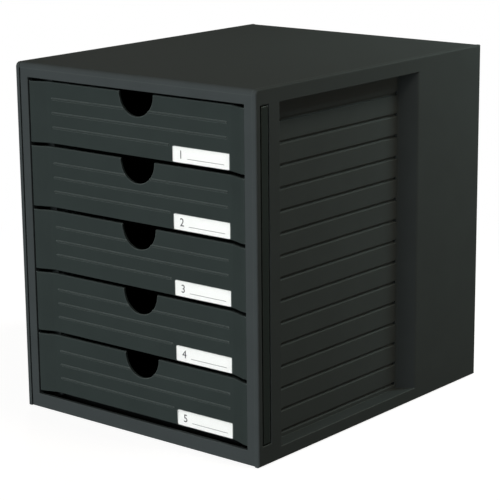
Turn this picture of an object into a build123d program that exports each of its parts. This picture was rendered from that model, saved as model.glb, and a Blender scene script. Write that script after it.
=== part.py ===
"""Closed desktop drawer organizer: a moulded housing with five sliding drawers.

Millimetres. +Z is up, the fronts face -Y, +X is to the right of someone facing the fronts.
The origin is under the middle of the housing, on the surface that it stands on.
"""
import os
from math import atan2, sqrt, tan

from build123d import *

# Whole object
WIDTH = 275.0
DEPTH = 330.0
HEIGHT = 320.0
FOOT_DROP = 1.0
SIDE_EDGE_RADIUS = 1.6
FRONT_TOP_RADIUS = 4.5

# Walls and seams
SHELL_WALL = 2.5
PLATE = 3.0
REVEAL = 0.2
SEAT_CLEARANCE = 0.3

# Side wall, seen in plan
SIDE_BAR_WIDTH = 4.3
SIDE_BAR_DEPTH = 5.6
GROOVE_WIDTH = 11.4
GROOVE_DEPTH = 5.0
COVER_FRONT_GAP = 1.6
COVER_REAR_GAP = 1.2
COVER_END_GAP = 1.2
COVER_SETBACK = 0.4
COVER_ROUNDING = 0.4
STRIP_WIDTH = 13.5
REAR_LENGTH = 101.5
RECESS_DEPTH = 14.0
RECESS_FRONT_DRAFT = 2.0
RECESS_REAR_SLOPE = 10.8
RECESS_ROUNDING = 4.0
FLOOR_WALL = 3.0
SLOPE_WALL = 4.5
OPENING_ROUNDING = 0.6

# Side wall, seen from the side
BAND_BELOW = 12.5
BAND_ABOVE = 13.5
GROOVE_LIFT = 6.0
SLATS_PER_DRAWER = 3
SLAT_GROOVE_HEIGHT = 3.6
SLAT_GROOVE_DEPTH = 2.0
SLAT_BEVEL_HEIGHT = 1.1
SLAT_END_GAP = 1.5
FIRST_SLAT_LIFT = 0.5

# Front frame
FRAME_SETBACK = 1.0
FRAME_THICKNESS = 3.2
FRAME_SIDE = 9.0
FRAME_SILL = 13.0
FRAME_HEAD = 8.0
FRAME_ROUNDING = 0.8

# Top, bottom and back
TOP_RIM = 5.0
BACK_SETBACK = 0.8
BACK_THICKNESS = 2.6
FOOT_DIAMETER = 14.0
FOOT_THICKNESS = 2.0
FOOT_INSET_X = 27.0
FOOT_INSET_Y = 30.0

# Drawers
DRAWER_COUNT = 5
DRAWER_GAP = 3.0
DRAWER_SIDE_GAP = 0.6
CAP_SETBACK = 2.2
SCOOP_SETBACK = 7.4
CAP_WIDTH = 4.0
SCOOP_SLOPE_RUN = 14.4
SCOOP_ROUNDING = 12.0
FRONT_WALL = 2.3
FRONT_EDGE_ROUNDING = 1.0
TRAY_WALL = 1.8
TRAY_LIFT = 1.5
TRAY_BACK_GAP = 1.5

# Finger notch, ribs and label on each drawer front
NOTCH_RADIUS = 19.5
NOTCH_DEPTH = 20.5
NOTCH_ROUNDING = 0.6
RIB_RADIUS = 0.85
RIB_LEVELS = (14.5, 27.3, 40.1)
RIB_END_GAP = 4.5
LABEL_WIDTH = 62.0
LABEL_HEIGHT = 13.4
LABEL_CORNER = 1.0
LABEL_LIFT = 0.9
LABEL_END_GAP = 1.6
LABEL_POCKET_DEPTH = 0.5
LABEL_POCKET_CLEARANCE = 0.2
CARD_THICKNESS = 0.35
WINDOW_THICKNESS = 0.7

# Runners
RUNNER_REACH = 3.0
RUNNER_CLEARANCE = 0.3
RIM_DROP = 12.0
RIM_THICKNESS = 2.0
LEDGE_THICKNESS = 2.5
LEDGE_CLEARANCE = 0.2
HOLD_DOWN_CLEARANCE = 0.5
HOLD_DOWN_THICKNESS = 2.0
RUNNER_FRONT_GAP = 2.0
RUNNER_BACK_GAP = 6.0
STOP_LENGTH = 6.0
STOP_HEIGHT = 6.0
STOP_DROP = 2.5
STOP_REAR_INSET = 7.0
TRAVEL = 240.0
WEB_MARGIN = 1.0

# How near an edge lies to the place that it is picked by
NEAR = 0.1

# Planes and levels that follow from the sizes above
half_width = WIDTH / 2
front_y = -DEPTH / 2
back_y = DEPTH / 2
base_z = FOOT_DROP
inset_half = half_width - SIDE_BAR_WIDTH
frame_face_y = front_y + FRAME_SETBACK
frame_back_y = frame_face_y + FRAME_THICKNESS
opening_half = inset_half - FRAME_SIDE - REVEAL
rim_z = HEIGHT - TOP_RIM
sill_z = base_z + FRAME_SILL
head_z = rim_z - FRAME_HEAD
back_face_y = back_y - BACK_SETBACK
back_inner_y = back_face_y - BACK_THICKNESS
groove_front_y = front_y + SIDE_BAR_DEPTH
groove_rear_y = groove_front_y + GROOVE_WIDTH
groove_floor_x = half_width - GROOVE_DEPTH
recess_front_y = groove_rear_y + STRIP_WIDTH
recess_rear_y = back_y - REAR_LENGTH
recess_floor_x = half_width - RECESS_DEPTH
floor_front_y = recess_front_y + RECESS_FRONT_DRAFT
floor_rear_y = recess_rear_y - RECESS_REAR_SLOPE
panel_inner_x = recess_floor_x - FLOOR_WALL
band_bottom_z = BAND_BELOW
band_top_z = HEIGHT - BAND_ABOVE
groove_bottom_z = band_bottom_z + GROOVE_LIFT
drawer_pitch = (head_z - sill_z - DRAWER_GAP) / DRAWER_COUNT
drawer_front_height = drawer_pitch - DRAWER_GAP
drawer_levels = [head_z - (i + 1) * drawer_pitch for i in range(DRAWER_COUNT)]
rim_level = drawer_front_height - RIM_DROP
rim_half = panel_inner_x - RUNNER_CLEARANCE
tray_half = panel_inner_x - RUNNER_REACH - RUNNER_CLEARANCE
tray_back_y = back_inner_y - TRAY_BACK_GAP
cap_face_y = front_y + CAP_SETBACK
scoop_face_y = front_y + SCOOP_SETBACK
cap_half = opening_half - DRAWER_SIDE_GAP
shoulder_half = cap_half - CAP_WIDTH
scoop_half = shoulder_half - SCOOP_SLOPE_RUN
stop_lug_front_y = tray_back_y - STOP_REAR_INSET - STOP_LENGTH
stop_block_back_y = stop_lug_front_y - TRAVEL - SEAT_CLEARANCE
stop_top_level = rim_level - LEDGE_CLEARANCE - LEDGE_THICKNESS - STOP_DROP
label_centre_x = scoop_half - LABEL_END_GAP - LABEL_WIDTH / 2


def box_between(x, y, z, mode=Mode.ADD):
    """A box given by its (low, high) pair along each axis."""
    with Locations(((x[0] + x[1]) / 2, (y[0] + y[1]) / 2, (z[0] + z[1]) / 2)):
        Box(x[1] - x[0], y[1] - y[0], z[1] - z[0], mode=mode)


def save(name, piece):
    piece.label = name
    export_step(piece, f"parts/{name}.step")


os.makedirs("parts", exist_ok=True)

# Right side wall: one moulding with front bar, upright groove, slatted recess and runners
ledge_top_level = rim_level - LEDGE_CLEARANCE
hold_down_level = rim_level + RIM_THICKNESS + HOLD_DOWN_CLEARANCE
web_bottoms = sorted(level + ledge_top_level - LEDGE_THICKNESS - WEB_MARGIN for level in drawer_levels)
web_tops = sorted(level + hold_down_level + HOLD_DOWN_THICKNESS + WEB_MARGIN for level in drawer_levels)
pocket_bottoms = [band_bottom_z + SHELL_WALL] + web_tops[:-1]
pocket_skin_x = half_width - SHELL_WALL
post_hollow_bottom = base_z + PLATE + SHELL_WALL
post_hollow_top = HEIGHT - PLATE - SHELL_WALL
slat_pitch = drawer_pitch / SLATS_PER_DRAWER
first_slat_z = min(drawer_levels) + FIRST_SLAT_LIFT

with BuildPart() as side_panel_right:
    box_between((panel_inner_x, half_width), (front_y, back_y), (base_z, HEIGHT))
    top_front = side_panel_right.edges().filter_by(Axis.X).group_by(Axis.Z)[-1].sort_by(Axis.Y)[0]
    fillet(top_front, FRONT_TOP_RADIUS)
    outer_loop = side_panel_right.faces().sort_by(Axis.X)[-1].edges()
    fillet(outer_loop, SIDE_EDGE_RADIUS)

    # Rebates for the front frame, back panel, top panel and bottom panel
    box_between((panel_inner_x, inset_half), (front_y, frame_back_y), (base_z, HEIGHT), Mode.SUBTRACT)
    box_between((panel_inner_x, inset_half), (back_inner_y, back_y), (base_z, HEIGHT), Mode.SUBTRACT)
    box_between((panel_inner_x, inset_half), (front_y, back_y), (HEIGHT - PLATE, HEIGHT), Mode.SUBTRACT)
    box_between((panel_inner_x, inset_half), (front_y, back_y), (base_z, base_z + PLATE), Mode.SUBTRACT)

    # Upright groove behind the front bar
    box_between((groove_floor_x, half_width), (groove_front_y, groove_rear_y),
                (groove_bottom_z, band_top_z), Mode.SUBTRACT)

    # Large recess with a steep front wall and a sloping rear wall
    with BuildSketch(Plane.XY.offset(band_bottom_z)) as recess_plan:
        with BuildLine():
            Polyline((half_width, recess_front_y), (recess_floor_x, floor_front_y),
                     (recess_floor_x, floor_rear_y), (half_width, recess_rear_y), close=True)
        make_face()
        fillet(recess_plan.vertices().group_by(Axis.X)[0].sort_by(Axis.Y)[-1], RECESS_ROUNDING)
    extrude(amount=band_top_z - band_bottom_z, mode=Mode.SUBTRACT)
    rear_edge = (
        side_panel_right.edges().filter_by(Axis.Z)
        .filter_by_position(Axis.Y, recess_rear_y - NEAR, recess_rear_y + NEAR)
        .filter_by_position(Axis.X, half_width - NEAR, half_width + NEAR)
    )
    fillet(rear_edge, RECESS_ROUNDING)
    outer_skin = side_panel_right.faces().sort_by(Axis.X)[-1]
    fillet([edge for wire in outer_skin.inner_wires() for edge in wire.edges()], OPENING_ROUNDING)

    # Slat grooves across the floor of the recess, each with a bevelled lower lip
    for slat in range(SLATS_PER_DRAWER * DRAWER_COUNT):
        groove_top = first_slat_z + slat * slat_pitch + SLAT_GROOVE_HEIGHT / 2
        groove_bottom = groove_top - SLAT_GROOVE_HEIGHT
        groove_x = recess_floor_x - SLAT_GROOVE_DEPTH
        with BuildSketch(Plane.XZ.offset(-floor_front_y)):
            with BuildLine():
                Polyline((recess_floor_x, groove_top), (groove_x, groove_top),
                         (groove_x, groove_bottom + SLAT_BEVEL_HEIGHT),
                         (recess_floor_x, groove_bottom), close=True)
            make_face()
        extrude(amount=-(floor_rear_y - SLAT_END_GAP - floor_front_y), mode=Mode.SUBTRACT)

    # Hollows on the inner side, so that every wall of the moulding is a thin one
    with BuildSketch(Plane.XY.offset(post_hollow_bottom)):
        with BuildLine():
            Polyline((panel_inner_x, frame_back_y), (opening_half + REVEAL, frame_back_y),
                     (opening_half + REVEAL, frame_back_y + SHELL_WALL),
                     (groove_floor_x - SHELL_WALL, frame_back_y + SHELL_WALL),
                     (groove_floor_x - SHELL_WALL, groove_rear_y + SHELL_WALL),
                     (pocket_skin_x, groove_rear_y + SHELL_WALL),
                     (pocket_skin_x, recess_front_y - SHELL_WALL),
                     (panel_inner_x, recess_front_y - SHELL_WALL), close=True)
        make_face()
    extrude(amount=post_hollow_top - post_hollow_bottom, mode=Mode.SUBTRACT)
    for pocket_bottom, pocket_top in zip(pocket_bottoms, web_bottoms):
        with BuildSketch(Plane.XY.offset(pocket_bottom)):
            with BuildLine():
                Polyline((panel_inner_x, floor_rear_y + SLOPE_WALL),
                         (pocket_skin_x, recess_rear_y + RECESS_ROUNDING),
                         (pocket_skin_x, back_inner_y - SHELL_WALL),
                         (panel_inner_x, back_inner_y - SHELL_WALL), close=True)
            make_face()
        extrude(amount=pocket_top - pocket_bottom, mode=Mode.SUBTRACT)

    # Hollow in the upper band, under the ledge that carries the top panel
    box_between((panel_inner_x, pocket_skin_x),
                (frame_back_y + SHELL_WALL, back_inner_y - SHELL_WALL),
                (band_top_z + SHELL_WALL, post_hollow_top), Mode.SUBTRACT)

    # Runner ledge, hold-down ledge and travel stop for each drawer
    runner_x = (panel_inner_x - RUNNER_REACH, panel_inner_x)
    runner_y = (frame_back_y + RUNNER_FRONT_GAP, back_inner_y - RUNNER_BACK_GAP)
    for level in drawer_levels:
        ledge_top = level + ledge_top_level
        hold_down_bottom = level + hold_down_level
        stop_top = level + stop_top_level
        box_between(runner_x, runner_y, (ledge_top - LEDGE_THICKNESS, ledge_top))
        box_between(runner_x, runner_y, (hold_down_bottom, hold_down_bottom + HOLD_DOWN_THICKNESS))
        box_between(runner_x, (stop_block_back_y - STOP_LENGTH, stop_block_back_y),
                    (stop_top - STOP_HEIGHT, stop_top))
save("side_panel_right", side_panel_right.part)

with BuildPart() as side_panel_left:
    mirror(side_panel_right.part, about=Plane.YZ)
save("side_panel_left", side_panel_left.part)

# Cover strip that is plugged into the upright groove, with a fine dark gap all round
with BuildPart() as cover_strip_right:
    box_between((groove_floor_x, half_width - COVER_SETBACK),
                (groove_front_y + COVER_FRONT_GAP, groove_rear_y - COVER_REAR_GAP),
                (groove_bottom_z + COVER_END_GAP, band_top_z - COVER_END_GAP))
    fillet(cover_strip_right.faces().sort_by(Axis.X)[-1].edges(), COVER_ROUNDING)
save("cover_strip_right", cover_strip_right.part)

with BuildPart() as cover_strip_left:
    mirror(cover_strip_right.part, about=Plane.YZ)
save("cover_strip_left", cover_strip_left.part)

# Top panel, with a rim that turns down over the front frame and the back panel
with BuildPart() as top_panel:
    box_between((-inset_half, inset_half), (frame_face_y, back_y), (HEIGHT - PLATE, HEIGHT))
    box_between((-inset_half, inset_half), (frame_face_y, frame_back_y), (rim_z, HEIGHT))
    box_between((-inset_half, inset_half), (back_inner_y, back_y), (rim_z, HEIGHT))
    fillet(top_panel.edges().filter_by(Axis.X).group_by(Axis.Z)[-1].sort_by(Axis.Y)[0], FRONT_TOP_RADIUS)
    fillet(top_panel.edges().filter_by(Axis.X).group_by(Axis.Z)[-1].sort_by(Axis.Y)[-1], SIDE_EDGE_RADIUS)
save("top_panel", top_panel.part)

# Bottom panel, with four round seats for the feet
foot_x = half_width - FOOT_INSET_X
foot_y = DEPTH / 2 - FOOT_INSET_Y
foot_seat_depth = FOOT_THICKNESS - FOOT_DROP

with BuildPart() as bottom_panel:
    box_between((-inset_half, inset_half), (frame_back_y, back_inner_y), (base_z, base_z + PLATE))
    with BuildSketch(Plane.XY.offset(base_z)):
        with GridLocations(2 * foot_x, 2 * foot_y, 2, 2):
            Circle(FOOT_DIAMETER / 2 + SEAT_CLEARANCE)
    extrude(amount=foot_seat_depth, mode=Mode.SUBTRACT)
save("bottom_panel", bottom_panel.part)


def rubber_foot(x, y):
    """A round foot that stands out under its seat in the bottom panel."""
    with BuildPart() as foot:
        with BuildSketch(Plane.XY):
            with Locations((x, y)):
                Circle(FOOT_DIAMETER / 2)
        extrude(amount=FOOT_THICKNESS)
        fillet(foot.edges().filter_by(GeomType.CIRCLE).group_by(Axis.Z)[0], SEAT_CLEARANCE)
    return foot.part


for end_name, end_sign in (("front", -1), ("rear", 1)):
    for side_name, side_sign in (("left", -1), ("right", 1)):
        save(f"foot_{end_name}_{side_name}", rubber_foot(side_sign * foot_x, end_sign * foot_y))

# Back panel, let in between the side walls under the rim of the top panel
frame_half = inset_half - REVEAL
with BuildPart() as back_panel:
    box_between((-frame_half, frame_half), (back_inner_y, back_face_y), (base_z, rim_z))
    fillet(back_panel.faces().sort_by(Axis.Y)[-1].edges().filter_by(Axis.Z), FRAME_ROUNDING)
save("back_panel", back_panel.part)

# Front frame around the five drawers
with BuildPart() as front_frame:
    box_between((-frame_half, frame_half), (frame_face_y, frame_back_y), (base_z, rim_z))
    box_between((-opening_half, opening_half), (frame_face_y, frame_back_y), (sill_z, head_z), Mode.SUBTRACT)
    frame_face = front_frame.faces().sort_by(Axis.Y)[0]
    fillet(frame_face.inner_wires()[0].edges(), FRAME_ROUNDING)
    outer_edges = front_frame.faces().sort_by(Axis.Y)[0].outer_wire().edges()
    fillet(outer_edges.filter_by(Axis.Z) + outer_edges.filter_by(Axis.X).sort_by(Axis.Z)[:1], FRAME_ROUNDING)
save("front_frame", front_frame.part)


def front_line_y(x):
    """Where the sharp outline of a drawer front lies at x, seen from above."""
    slope_share = (abs(x) - scoop_half) / SCOOP_SLOPE_RUN
    return scoop_face_y + (cap_face_y - scoop_face_y) * min(max(slope_share, 0), 1)


def drawer_tray(level):
    """One drawer: a scooped front with notch, ribs and label pocket, and the tray behind it."""
    top = level + drawer_front_height
    slope_turn = atan2(SCOOP_SETBACK - CAP_SETBACK, SCOOP_SLOPE_RUN)
    wall_shift = FRONT_WALL * tan(slope_turn / 2)
    floor_z = level + TRAY_LIFT
    rim_top = level + rim_level + RIM_THICKNESS
    lug_top = level + stop_top_level
    with BuildPart() as drawer:
        # The front: a constant wall that steps back between two flush end caps
        with BuildSketch(Plane.XY.offset(level)) as front_plan:
            with BuildLine():
                Polyline((-cap_half, cap_face_y), (-shoulder_half, cap_face_y),
                         (-scoop_half, scoop_face_y), (scoop_half, scoop_face_y),
                         (shoulder_half, cap_face_y), (cap_half, cap_face_y),
                         (cap_half, cap_face_y + FRONT_WALL),
                         (shoulder_half - wall_shift, cap_face_y + FRONT_WALL),
                         (scoop_half - wall_shift, scoop_face_y + FRONT_WALL),
                         (wall_shift - scoop_half, scoop_face_y + FRONT_WALL),
                         (wall_shift - shoulder_half, cap_face_y + FRONT_WALL),
                         (-cap_half, cap_face_y + FRONT_WALL), close=True)
            make_face()
            bend_limit = shoulder_half + wall_shift
            fillet([corner for corner in front_plan.vertices() if abs(corner.X) < bend_limit], SCOOP_ROUNDING)
        extrude(amount=drawer_front_height)

        # Rounded outline on the outer side, all the way round
        outline = []
        for edge in drawer.edges():
            place = edge.center()
            on_outline = place.Z < level + NEAR or place.Z > top - NEAR or abs(place.X) > cap_half - NEAR
            if on_outline and place.Y < front_line_y(place.X) + FRONT_WALL / 2 - NEAR:
                outline.append(edge)
        fillet(outline, FRONT_EDGE_ROUNDING)

        # The notch for a fingertip, rounded on the outer side
        with BuildSketch(Plane.XZ.offset(-scoop_face_y)):
            with Locations((0, top - NOTCH_DEPTH + NOTCH_RADIUS)):
                Circle(NOTCH_RADIUS)
                Rectangle(2 * NOTCH_RADIUS, NOTCH_DEPTH, align=(Align.CENTER, Align.MIN))
        extrude(amount=-FRONT_WALL, mode=Mode.SUBTRACT)
        notch_outline = (
            drawer.edges()
            .filter_by_position(Axis.Y, scoop_face_y - NEAR, scoop_face_y + NEAR)
            .filter_by_position(Axis.X, -NOTCH_RADIUS - NEAR, NOTCH_RADIUS + NEAR)
            .filter_by_position(Axis.Z, level + FRONT_EDGE_ROUNDING + NEAR, top - FRONT_EDGE_ROUNDING - NEAR)
        )
        fillet(notch_outline, NOTCH_ROUNDING)

        # Fine ribs along the scooped face: two stop beside the notch, the lowest at the label
        for rib_level in RIB_LEVELS:
            rib_end = scoop_half - RIB_END_GAP
            drop = drawer_front_height - NOTCH_DEPTH + NOTCH_RADIUS - rib_level
            spans = [(-rib_end, rib_end)]
            if drop < NOTCH_RADIUS:
                notch_half = sqrt(NOTCH_RADIUS**2 - drop**2) + NOTCH_ROUNDING
                spans = [(-rib_end, -notch_half), (notch_half, rib_end)]
            if rib_level - RIB_RADIUS < LABEL_LIFT + LABEL_HEIGHT:
                spans = [(-rib_end, label_centre_x - LABEL_WIDTH / 2 - RIB_END_GAP)]
            for rib_left, rib_right in spans:
                with BuildSketch(Plane.YZ.offset(rib_left)):
                    with Locations((scoop_face_y, level + rib_level)):
                        Circle(RIB_RADIUS)
                extrude(amount=rib_right - rib_left)

        # Shallow pocket for the label card and its window
        with BuildSketch(Plane.XZ.offset(-scoop_face_y)):
            with Locations((label_centre_x, level + LABEL_LIFT + LABEL_HEIGHT / 2)):
                RectangleRounded(LABEL_WIDTH + 2 * LABEL_POCKET_CLEARANCE,
                                 LABEL_HEIGHT + 2 * LABEL_POCKET_CLEARANCE, LABEL_CORNER)
        extrude(amount=-LABEL_POCKET_DEPTH, mode=Mode.SUBTRACT)

        # Floor, side walls, running rims, stop lugs and back wall of the tray
        floor_front_edge = scoop_face_y + FRONT_WALL / 2
        corner_front_edge = front_line_y(tray_half - TRAY_WALL) + FRONT_WALL / 2
        with BuildSketch(Plane.XY.offset(floor_z)):
            with BuildLine():
                Polyline((-tray_half, tray_back_y), (-tray_half, corner_front_edge),
                         (-scoop_half, floor_front_edge), (scoop_half, floor_front_edge),
                         (tray_half, corner_front_edge), (tray_half, tray_back_y), close=True)
            make_face()
        extrude(amount=TRAY_WALL)
        box_between((-tray_half, tray_half), (tray_back_y - TRAY_WALL, tray_back_y), (floor_z, rim_top))
        for side in (-1, 1):
            box_between(sorted((side * tray_half, side * (tray_half - TRAY_WALL))),
                        (corner_front_edge, tray_back_y), (floor_z, rim_top))
            box_between(sorted((side * tray_half, side * rim_half)),
                        (frame_back_y + RUNNER_FRONT_GAP, tray_back_y), (level + rim_level, rim_top))
            box_between(sorted((side * tray_half, side * (rim_half - RUNNER_CLEARANCE))),
                        (stop_lug_front_y, stop_lug_front_y + STOP_LENGTH), (lug_top - STOP_HEIGHT, lug_top))
    return drawer.part


def label_plate(level, face_y, thickness):
    """A thin plate with rounded corners in the label pocket, its back at face_y."""
    with BuildPart() as plate:
        with BuildSketch(Plane.XZ.offset(-face_y)):
            with Locations((label_centre_x, level + LABEL_LIFT + LABEL_HEIGHT / 2)):
                RectangleRounded(LABEL_WIDTH, LABEL_HEIGHT, LABEL_CORNER)
        extrude(amount=thickness)
    return plate.part


# Five drawers from the top down, each with a printed card under a clear window
card_back_y = scoop_face_y + LABEL_POCKET_DEPTH
for index, level in enumerate(drawer_levels):
    save(f"drawer_tray_{index + 1}", drawer_tray(level))
    save(f"label_card_{index + 1}", label_plate(level, card_back_y, CARD_THICKNESS))
    save(f"label_window_{index + 1}", label_plate(level, card_back_y - CARD_THICKNESS, WINDOW_THICKNESS))
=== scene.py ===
# %% [markdown]
# # A desktop drawer organizer in moulded polystyrene
# The real object is a closed box for A4 paper: a dark housing that snaps together from a few mouldings,
# and five drawers that slide out on their own. The CAD model already has every solid part in its place,
# so this lesson loads it as a fixed frame and gives it light, surfaces, printed numbers and a camera.
# All lengths are in metres: +Z is up, the drawer fronts face -Y, and the box stands on z = 0.

# %% Load the frame
import math

import bmesh
import bpy
from mathutils import Matrix, Vector


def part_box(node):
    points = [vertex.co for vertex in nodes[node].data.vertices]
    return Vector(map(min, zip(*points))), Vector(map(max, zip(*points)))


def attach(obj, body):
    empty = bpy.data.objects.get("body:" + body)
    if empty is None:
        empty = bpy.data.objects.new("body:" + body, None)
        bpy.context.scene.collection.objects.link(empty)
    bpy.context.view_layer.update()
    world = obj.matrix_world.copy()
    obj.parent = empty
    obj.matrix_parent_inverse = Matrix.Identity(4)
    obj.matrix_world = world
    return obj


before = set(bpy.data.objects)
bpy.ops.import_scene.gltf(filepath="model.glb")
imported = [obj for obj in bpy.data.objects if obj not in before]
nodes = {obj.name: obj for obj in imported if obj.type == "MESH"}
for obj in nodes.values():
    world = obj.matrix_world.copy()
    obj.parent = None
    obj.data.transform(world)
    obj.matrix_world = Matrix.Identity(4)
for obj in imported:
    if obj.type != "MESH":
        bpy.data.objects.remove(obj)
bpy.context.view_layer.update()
MM = 0.001
DRAWERS = range(1, 6)

# %% [markdown]
# ## Camera
# The photograph shows the box from its front right corner and a little above, from far away with a long
# lens. The place, the turn and the focal length come from fitting a perspective camera to the corners
# of the box. There is no lens shift, so the upright edges lean in a little more than in the photograph.

# %% Make the camera
CAMERA_PLACE = Vector((1.0682, -1.3006, 0.5532))
CAMERA_YAW, CAMERA_PITCH, CAMERA_ROLL = 39.56, -13.92, -0.57
CAMERA_LENS = 134.3
LOOK_LEVEL = 90         # a new camera looks straight down, and this turn makes it look level
CLIP_NEAR, CLIP_FAR = 0.05, 50

camera_data = bpy.data.cameras.new("camera")
camera_data.lens = CAMERA_LENS
camera_data.clip_start, camera_data.clip_end = CLIP_NEAR, CLIP_FAR
camera = bpy.data.objects.new("camera", camera_data)
bpy.context.scene.collection.objects.link(camera)
turn = Matrix.Rotation(math.radians(CAMERA_YAW), 4, "Z")
turn = turn @ Matrix.Rotation(math.radians(LOOK_LEVEL + CAMERA_PITCH), 4, "X")
turn = turn @ Matrix.Rotation(math.radians(CAMERA_ROLL), 4, "Z")
camera.matrix_world = Matrix.Translation(CAMERA_PLACE) @ turn
bpy.context.scene.camera = camera
print("camera: lens", CAMERA_LENS, "mm at", tuple(CAMERA_PLACE))

# %% [markdown]
# ## Colours and nodes
# Colours are written as they look on a screen, as sRGB hex values. The renderer counts light linearly,
# so one function turns them. Another small function adds a shader node with its settings and its
# links, because every material below is a handful of such nodes. The rest name what the materials
# share: an empty tree, a colour between two others, a value moved to another range, and a fine relief.

# %% Helpers for colours and nodes
def linear(code):
    """An sRGB hex colour as linear red, green and blue."""
    parts = [int(code[i:i + 2], 16) / 255 for i in (1, 3, 5)]
    return tuple(c / 12.92 if c <= 0.04045 else ((c + 0.055) / 1.055) ** 2.4 for c in parts)


def add(tree, kind, inputs=None, **settings):
    """Adds a node; inputs maps a socket to a value or to another node's output socket."""
    node = tree.nodes.new(kind)
    for name, value in settings.items():
        setattr(node, name, value)
    for socket, value in (inputs or {}).items():
        if isinstance(value, bpy.types.NodeSocket):
            tree.links.new(value, node.inputs[socket])
        else:
            node.inputs[socket].default_value = value
    return node


def new_tree(name):
    """An empty node material and its tree."""
    material = bpy.data.materials.new(name)
    material.use_nodes = True
    material.node_tree.nodes.clear()
    return material, material.node_tree


def mixed(tree, factor, first, second):
    """The output between two linear colours or colour sockets, as a factor says."""
    return add(tree, "ShaderNodeMix", {"Factor": factor, "A": first, "B": second},
               data_type="VECTOR").outputs[1]


def ranged(tree, value, from_min, from_max, to_min, to_max):
    """The output that takes a value from one range to another."""
    return add(tree, "ShaderNodeMapRange", {"Value": value, "From Min": from_min, "From Max": from_max,
                                            "To Min": to_min, "To Max": to_max}).outputs[0]


def relief_of(tree, height, strength, depth):
    """The normal of a fine relief: its height pattern, how strongly it shows, and its depth."""
    return add(tree, "ShaderNodeBump", {"Height": height, "Strength": strength,
                                        "Distance": depth}).outputs[0]


# %% [markdown]
# ## White background and floor
# The photograph has a pure white background. A white world would also flood the dark plastic with light,
# so the world is white only where the camera or a ray through something clear sees it. Where it lights
# the object it is a dim, slightly warm grey, and a mirror reflection sees a small share of the white.
# The floor is a white disc that works the same way: the camera sees it near white with the soft shadow
# of the box, it throws little light back, and it blends into the world far out.

# %% World and floor
WORLD_LIGHT = 0.10
WORLD_TINT = "#fff1e0"
MIRROR_SHARE = 0.12
FLOOR_RADIUS, FLOOR_BLEND_START, FLOOR_BLEND_END = 3.0, 0.35, 0.75
FLOOR_SEEN_GLOW, FLOOR_SEEN_WHITE, FLOOR_WHITE = 0.88, 0.35, 0.12
FLOOR_SEGMENTS = 96
WHITE = (1, 1, 1)


def seen_directly(tree):
    """1 for a ray from the camera or a clear body, less for a reflection, 0 for falling light."""
    path = add(tree, "ShaderNodeLightPath").outputs
    seen = add(tree, "ShaderNodeMath", {0: path["Is Camera Ray"], 1: path["Is Transmission Ray"]},
               operation="MAXIMUM")
    mirrored = add(tree, "ShaderNodeMath", {0: path["Is Glossy Ray"], 1: MIRROR_SHARE},
                   operation="MULTIPLY")
    return add(tree, "ShaderNodeMath", {0: seen.outputs[0], 1: mirrored.outputs[0]},
               operation="MAXIMUM").outputs[0]


world = bpy.data.worlds.new("white_studio")
bpy.context.scene.world = world
world.use_nodes = True
tree = world.node_tree
tree.nodes.clear()
seen = seen_directly(tree)
sky = add(tree, "ShaderNodeBackground", {"Color": mixed(tree, seen, linear(WORLD_TINT), WHITE),
                                         "Strength": ranged(tree, seen, 0, 1, WORLD_LIGHT, 1)})
add(tree, "ShaderNodeOutputWorld", {"Surface": sky.outputs[0]})

# Matt white board: the paint decides how bright the floor looks and how much light it throws back.
floor_paint, tree = new_tree("matt_white_board")
place = add(tree, "ShaderNodeTexCoord").outputs["Object"]
far = add(tree, "ShaderNodeVectorMath", {0: place}, operation="LENGTH").outputs["Value"]
blend = add(tree, "ShaderNodeMapRange", {"Value": far, "From Min": FLOOR_BLEND_START,
                                         "From Max": FLOOR_BLEND_END}, interpolation_type="SMOOTHSTEP")
seen = seen_directly(tree)
lit_white = ranged(tree, seen, 0, 1, FLOOR_WHITE, FLOOR_SEEN_WHITE)
board = add(tree, "ShaderNodeBsdfDiffuse", {"Color": lit_white})
near_glow = add(tree, "ShaderNodeMath", {0: seen, 1: FLOOR_SEEN_GLOW}, operation="MULTIPLY")
glow = add(tree, "ShaderNodeEmission", {"Strength": near_glow.outputs[0]})
near = add(tree, "ShaderNodeAddShader", {0: board.outputs[0], 1: glow.outputs[0]})
white = add(tree, "ShaderNodeEmission", {"Strength": 1.0})
far_share = add(tree, "ShaderNodeMath", {0: seen, 1: blend.outputs[0]}, operation="MULTIPLY")
both = add(tree, "ShaderNodeMixShader", {0: far_share.outputs[0], 1: near.outputs[0], 2: white.outputs[0]})
add(tree, "ShaderNodeOutputMaterial", {"Surface": both.outputs[0]})


def piece_from(shape, name, material):
    """A linked object at the origin from a bmesh, which is used up."""
    mesh = bpy.data.meshes.new(name)
    shape.to_mesh(mesh)
    shape.free()
    mesh.materials.append(material)
    made = bpy.data.objects.new(name, mesh)
    bpy.context.scene.collection.objects.link(made)
    return made


disc = bmesh.new()
bmesh.ops.create_circle(disc, cap_ends=True, segments=FLOOR_SEGMENTS, radius=FLOOR_RADIUS)
floor = piece_from(disc, "floor", floor_paint)
print("floor: disc of", FLOOR_RADIUS, "m, white from", FLOOR_BLEND_END, "m outwards")

# %% [markdown]
# ## Studio lights
# The drawer fronts are the brightest faces of the photograph, the top is dimmer, and the right side is
# the darkest, with a shadow under the upper edge of its recess. So one large soft box, hardly higher
# than the box, lights the front. A smaller one high on the right lights the side, the ledges that face
# up and the top. A lamp near the rear right corner makes the top and the side brighter towards that
# corner, as in the photograph, and a low lamp keeps the foot of the side from going black. The last
# one fills the back and the left, which the photograph doesn't show.

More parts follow.
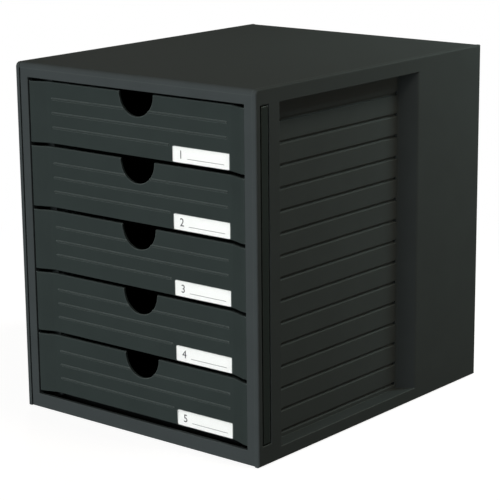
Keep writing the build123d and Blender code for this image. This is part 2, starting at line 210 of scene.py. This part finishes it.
# %% Lights
LIGHTS = {
    # name: (place, aim, side length, power in watts, colour)
    "front_softbox": ((0.0, -2.9, 0.50), (0, -0.16, 0.16), 1.2, 74, "#ffffff"),
    "top_softbox": ((1.0, 0.1, 1.9), (0.14, 0, 0.2), 0.35, 7.0, "#ffecd2"),
    "corner_lamp": ((0.40, 0.50, 0.65), (0.12, 0.12, 0.28), 0.15, 2.2, "#eefff9"),
    "low_side_lamp": ((0.90, 0.80, 0.25), (0.14, 0.10, 0.15), 0.15, 1.5, "#ffeed8"),
    "back_fill": ((-1.9, 1.7, 0.15), (-0.05, 0.05, 0.15), 0.4, 45, "#ffffff"),
}
for name, (spot, aim, side, power, colour) in LIGHTS.items():
    lamp = bpy.data.lights.new(name, "AREA")
    lamp.shape, lamp.size, lamp.energy, lamp.color = "SQUARE", side, power, linear(colour)
    lamp_object = bpy.data.objects.new(name, lamp)
    bpy.context.scene.collection.objects.link(lamp_object)
    lamp_object.location = spot
    lamp_object.rotation_euler = (Vector(aim) - Vector(spot)).to_track_quat("-Z", "Y").to_euler()
print("lights:", ", ".join(LIGHTS))

# %% [markdown]
# ## Matt moulded polystyrene
# The housing and the drawers are injection-moulded polystyrene. The mould is spark-eroded, which leaves
# a fine, even grain that scatters the light, so the surface looks matt and nearly black-green. A real
# grain is about 0.2 mm and would not show at this image size, so it is drawn at about a millimetre.
# Broad, faint clouds stand for the uneven flow of the melt. Edges that face up get a painted highlight,
# and edges that face down get painted shade, which gives each fine rib its light and its dark line. The
# floor
# of the side recess is painted paler: painted light, as if its slats caught more light from above.

# %% Polystyrene material
GRAIN_SIZE, GRAIN_DEPTH, GRAIN_STRENGTH = 1.1 * MM, 0.05 * MM, 0.10
CLOUD_SIZE = 28 * MM
CLOUD_LOW, CLOUD_HIGH = 0.3, 0.7        # where the middle part of the cloud pattern lies
CLOUD_TONE, CLOUD_ROUGHNESS = 0.04, 0.02
# painted highlight and painted shade on edges: the width of the rounded edge that they cover
PAINTED_EDGE_WIDTH = 0.9 * MM
EDGE_START, EDGE_FULL = 0.995, 0.90     # cosine between the true normal and the rounded one
EDGE_SAMPLES = 4
UPWARD_SPAN = 0.35                      # height of the normal from which an edge faces fully up
# painted shade: an edge that faces down gets this share of the face colour
PAINTED_SHADE_TONE = 0.5
# painted light: the floor of the side recess, this far in from the outer skin, is made this much paler
PAINTED_RECESS_LIGHT = 1.14
PAINTED_LIGHT_INSET, PAINTED_LIGHT_BLEND = 13.5 * MM, 1 * MM
POLYSTYRENE_IOR = 1.59
POLYSTYRENE_SPECULAR = 0.03


def moulded_polystyrene(name, colour, painted_highlight, roughness, painted_light_within=None):
    """Matt polystyrene: colours of the face and of the painted highlight on edges, roughness, and within
    how far from the middle plane the side wall is painted paler as painted light, in metres, if the part
    has any."""
    material, tree = new_tree(name)
    place = add(tree, "ShaderNodeTexCoord").outputs["Object"]
    clouds = add(tree, "ShaderNodeTexNoise", {"Vector": place, "Scale": 1 / CLOUD_SIZE, "Detail": 3.0,
                                              "Roughness": 0.5}).outputs[0]
    grain = add(tree, "ShaderNodeTexNoise", {"Vector": place, "Scale": 1 / GRAIN_SIZE, "Detail": 2.0,
                                             "Roughness": 0.6}).outputs[0]
    scale = ranged(tree, clouds, CLOUD_LOW, CLOUD_HIGH, 1 - CLOUD_TONE, 1 + CLOUD_TONE)
    # painted light: the side wall nearer the middle than its outer skin, which is the recess floor, is
    # made paler
    if painted_light_within:
        across = add(tree, "ShaderNodeSeparateXYZ", {0: place}).outputs["X"]
        distance = add(tree, "ShaderNodeMath", {0: across}, operation="ABSOLUTE").outputs[0]
        paler = ranged(tree, distance, painted_light_within, painted_light_within + PAINTED_LIGHT_BLEND,
                       PAINTED_RECESS_LIGHT, 1)
        scale = add(tree, "ShaderNodeMath", {0: scale, 1: paler}, operation="MULTIPLY").outputs[0]
    face = add(tree, "ShaderNodeVectorMath", {0: linear(colour), "Scale": scale},
               operation="SCALE").outputs[0]

    rounded = add(tree, "ShaderNodeBevel", {"Radius": PAINTED_EDGE_WIDTH}, samples=EDGE_SAMPLES).outputs[0]
    flat = add(tree, "ShaderNodeNewGeometry").outputs["Normal"]
    turned = add(tree, "ShaderNodeVectorMath", {0: rounded, 1: flat},
                 operation="DOT_PRODUCT").outputs["Value"]
    edge = ranged(tree, turned, EDGE_START, EDGE_FULL, 0, 1)
    # painted highlight on edges that face up, painted shade on edges that face down
    height = add(tree, "ShaderNodeSeparateXYZ", {0: flat}).outputs["Z"]
    upward = ranged(tree, height, -UPWARD_SPAN, UPWARD_SPAN, 0, 1)
    painted_shade = add(tree, "ShaderNodeVectorMath", {0: face, "Scale": PAINTED_SHADE_TONE},
                operation="SCALE").outputs[0]
    painted_edge_light = mixed(tree, upward, painted_shade, linear(painted_highlight))

    skin = add(tree, "ShaderNodeBsdfPrincipled", {
        "Base Color": mixed(tree, edge, face, painted_edge_light),
        "Roughness": ranged(tree, clouds, CLOUD_LOW, CLOUD_HIGH, roughness - CLOUD_ROUGHNESS,
                            roughness + CLOUD_ROUGHNESS),
        "Normal": relief_of(tree, grain, GRAIN_STRENGTH, GRAIN_DEPTH)})
    skin.inputs["IOR"].default_value = POLYSTYRENE_IOR
    skin.inputs["Specular IOR Level"].default_value = POLYSTYRENE_SPECULAR
    add(tree, "ShaderNodeOutputMaterial", {"Surface": skin.outputs[0]})
    return material


side_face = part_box("side_panel_right")[1].x
# The housing, its two side walls and the drawers: the same plastic, darker in the drawers.
# the second colour of each is the painted highlight on edges that face up
housing_plastic = moulded_polystyrene("matt_anthracite_polystyrene", "#3f4546", "#5e6665", roughness=0.7)
# the side wall also gets painted light that makes the floor of its recess paler
side_plastic = moulded_polystyrene("matt_anthracite_polystyrene_with_painted_recess_light", "#3f4546", "#5e6665",
                                   roughness=0.7, painted_light_within=side_face - PAINTED_LIGHT_INSET)
drawer_plastic = moulded_polystyrene("matt_dark_polystyrene", "#303837", "#7c8684", roughness=0.68)
print("polystyrene: grain", GRAIN_SIZE / MM, "mm, clouds", CLOUD_SIZE / MM, "mm")

# %% [markdown]
# ## Label card, clear window and rubber feet
# Each drawer has a strip of smooth white card behind a clear polystyrene window. Card is bright, dull
# and very slightly mottled by its fibres. The window only adds a thin gloss, so it is mostly
# transparent and reflects more at flat angles, which a Fresnel factor gives. The feet are soft black
# rubber, duller than the plastic.

# %% Card, window and rubber
FIBRE_SIZE, FIBRE_RELIEF = 0.8 * MM, (0.08, 0.02 * MM)      # a relief has a strength and a depth
WAVE_SIZE, WAVE_RELIEF = 9 * MM, (0.05, 0.05 * MM)
DUST_SIZE, DUST_RELIEF = 1.5 * MM, (0.3, 0.05 * MM)
CLEAR_ROUGHNESS, SMUDGED_ROUGHNESS = 0.04, 0.16


def noise(tree, size, detail):
    """A noise pattern over the object: the size of its largest features and its level of detail."""
    place = add(tree, "ShaderNodeTexCoord").outputs["Object"]
    return add(tree, "ShaderNodeTexNoise", {"Vector": place, "Scale": 1 / size,
                                            "Detail": detail}).outputs[0]


def mottled(name, pattern_size, detail, dark, light, roughness, relief=None):
    """A dull material that wavers between two colours; a relief is a pair of strength and depth."""
    material, tree = new_tree(name)
    pattern = noise(tree, pattern_size, detail)
    inputs = {"Base Color": mixed(tree, pattern, linear(dark), linear(light)), "Roughness": roughness}
    if relief:
        inputs["Normal"] = relief_of(tree, pattern, *relief)
    body = add(tree, "ShaderNodeBsdfPrincipled", inputs)
    add(tree, "ShaderNodeOutputMaterial", {"Surface": body.outputs[0]})
    return material


# Smooth white card of the labels, faintly mottled by its fibres.
card_white = mottled("smooth_white_card", FIBRE_SIZE, 3.0, "#f1f1ef", "#fdfdfc",
                     roughness=0.7, relief=FIBRE_RELIEF)
# Soft black rubber of the feet, with a little dust in its pores.
foot_rubber = mottled("soft_black_rubber", DUST_SIZE, 4.0, "#1b1b1b", "#2c2c2b",
                      roughness=0.85, relief=DUST_RELIEF)

# Clear polystyrene of the label windows: faint waves, a few smudges, and a mirror at flat angles.
window_clear, tree = new_tree("clear_polystyrene")
waves = noise(tree, WAVE_SIZE, 1.0)
smudges = ranged(tree, waves, 0, 1, CLEAR_ROUGHNESS, SMUDGED_ROUGHNESS)
gloss = add(tree, "ShaderNodeBsdfGlossy", {"Roughness": smudges,
                                           "Normal": relief_of(tree, waves, *WAVE_RELIEF)})
through = add(tree, "ShaderNodeBsdfTransparent", {"Color": (*linear("#fcfdfd"), 1)})
mirror = add(tree, "ShaderNodeFresnel", {"IOR": POLYSTYRENE_IOR})
pane = add(tree, "ShaderNodeMixShader", {0: mirror.outputs[0], 1: through.outputs[0], 2: gloss.outputs[0]})
add(tree, "ShaderNodeOutputMaterial", {"Surface": pane.outputs[0]})
print("also made:", card_white.name, foot_rubber.name, window_clear.name)

# %% [markdown]
# ## Dress the CAD parts
# The CAD parts have the right shape already, so each one stays and only its surface is changed. What
# the list below doesn't name is a part of the housing.

# %% Give every CAD part its material
FINISHES = {"side_panel": side_plastic, "drawer_tray": drawer_plastic, "cover_strip": drawer_plastic,
            "label_card": card_white, "label_window": window_clear, "foot": foot_rubber}


def finish_of(name):
    """The material that a CAD part has on the real object."""
    for start, material in FINISHES.items():
        if name.startswith(start):
            return material
    return housing_plastic


for name, part in nodes.items():
    for slot in part.material_slots:
        slot.material = finish_of(name)
print("dressed:", len(nodes), "CAD parts")

# %% [markdown]
# ## Printed numbers
# Each card carries a plain number, as an office would number its drawers, and a thin rule to write on.
# Type is best made from a font outline: the text is given a hair of thickness, turned into a mesh,
# and only then moved onto the face of the card, so that its object stays at the origin.

# %% Numbers and rules on the cards
NUMBER_HEIGHT, DIGIT_SHARE = 7.0 * MM, 0.7     # a digit fills this share of the font's size
NUMBER_INSET = 6.0 * MM
OUTLINE_STEPS = 4
INK_THICKNESS = 0.02 * MM
INK_LIFT = 1.5 * INK_THICKNESS                 # the ink's middle stands this far off the card
INK_MOTTLE = 0.6 * MM
RULE_START, RULE_END, RULE_WEIGHT, RULE_LIFT = 16 * MM, 56 * MM, 0.35 * MM, 3.6 * MM
MERGE_DISTANCE = 0.001 * MM

# Black printing ink, which covers the card a little unevenly.
printing_ink = mottled("black_printing_ink", INK_MOTTLE, 2.0, "#26262c", "#3a3a42", roughness=0.5)


def number_shape(number):
    """A digit as a bmesh that faces -Y, with the lower left corner of its line at the origin."""
    text = bpy.data.curves.new(f"number_outline_{number}", "FONT")
    text.body, text.size, text.extrude = str(number), NUMBER_HEIGHT / DIGIT_SHARE, INK_THICKNESS
    text.resolution_u = OUTLINE_STEPS
    carrier = bpy.data.objects.new(f"number_outline_{number}", text)
    bpy.context.scene.collection.objects.link(carrier)
    bpy.context.view_layer.update()
    outline = bpy.data.meshes.new_from_object(carrier.evaluated_get(bpy.context.evaluated_depsgraph_get()))
    bpy.data.objects.remove(carrier)
    marks = bmesh.new()
    marks.from_mesh(outline)
    bpy.data.meshes.remove(outline)
    upright = Matrix.Rotation(math.radians(90), 3, "X")
    bmesh.ops.rotate(marks, verts=marks.verts, cent=(0, 0, 0), matrix=upright)
    return marks


for number in DRAWERS:
    low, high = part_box(f"label_card_{number}")
    ink_y = low.y - INK_LIFT

    marks = number_shape(number)
    heights = [vert.co.z for vert in marks.verts]
    to_middle = (low.z + high.z) / 2 - (min(heights) + max(heights)) / 2
    bmesh.ops.translate(marks, verts=marks.verts, vec=(low.x + NUMBER_INSET, ink_y, to_middle))
    bmesh.ops.remove_doubles(marks, verts=marks.verts, dist=MERGE_DISTANCE)
    bmesh.ops.recalc_face_normals(marks, faces=marks.faces)
    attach(piece_from(marks, f"card_number_{number}", printing_ink), f"drawer_{number}")

    middle = Vector((low.x + (RULE_START + RULE_END) / 2, ink_y, low.z + RULE_LIFT))
    size = (RULE_END - RULE_START, 2 * INK_THICKNESS, RULE_WEIGHT, 1)
    rule = bmesh.new()
    bmesh.ops.create_cube(rule, size=1.0, matrix=Matrix.Translation(middle) @ Matrix.Diagonal(size))
    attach(piece_from(rule, f"card_rule_{number}", printing_ink), f"drawer_{number}")
print("numbers and rules:", len(DRAWERS), "of each")

# %% [markdown]
# ## Colour view
# The render shows its colours through the Standard view transform.

# %% View transform
bpy.context.scene.view_settings.view_transform = "Standard"
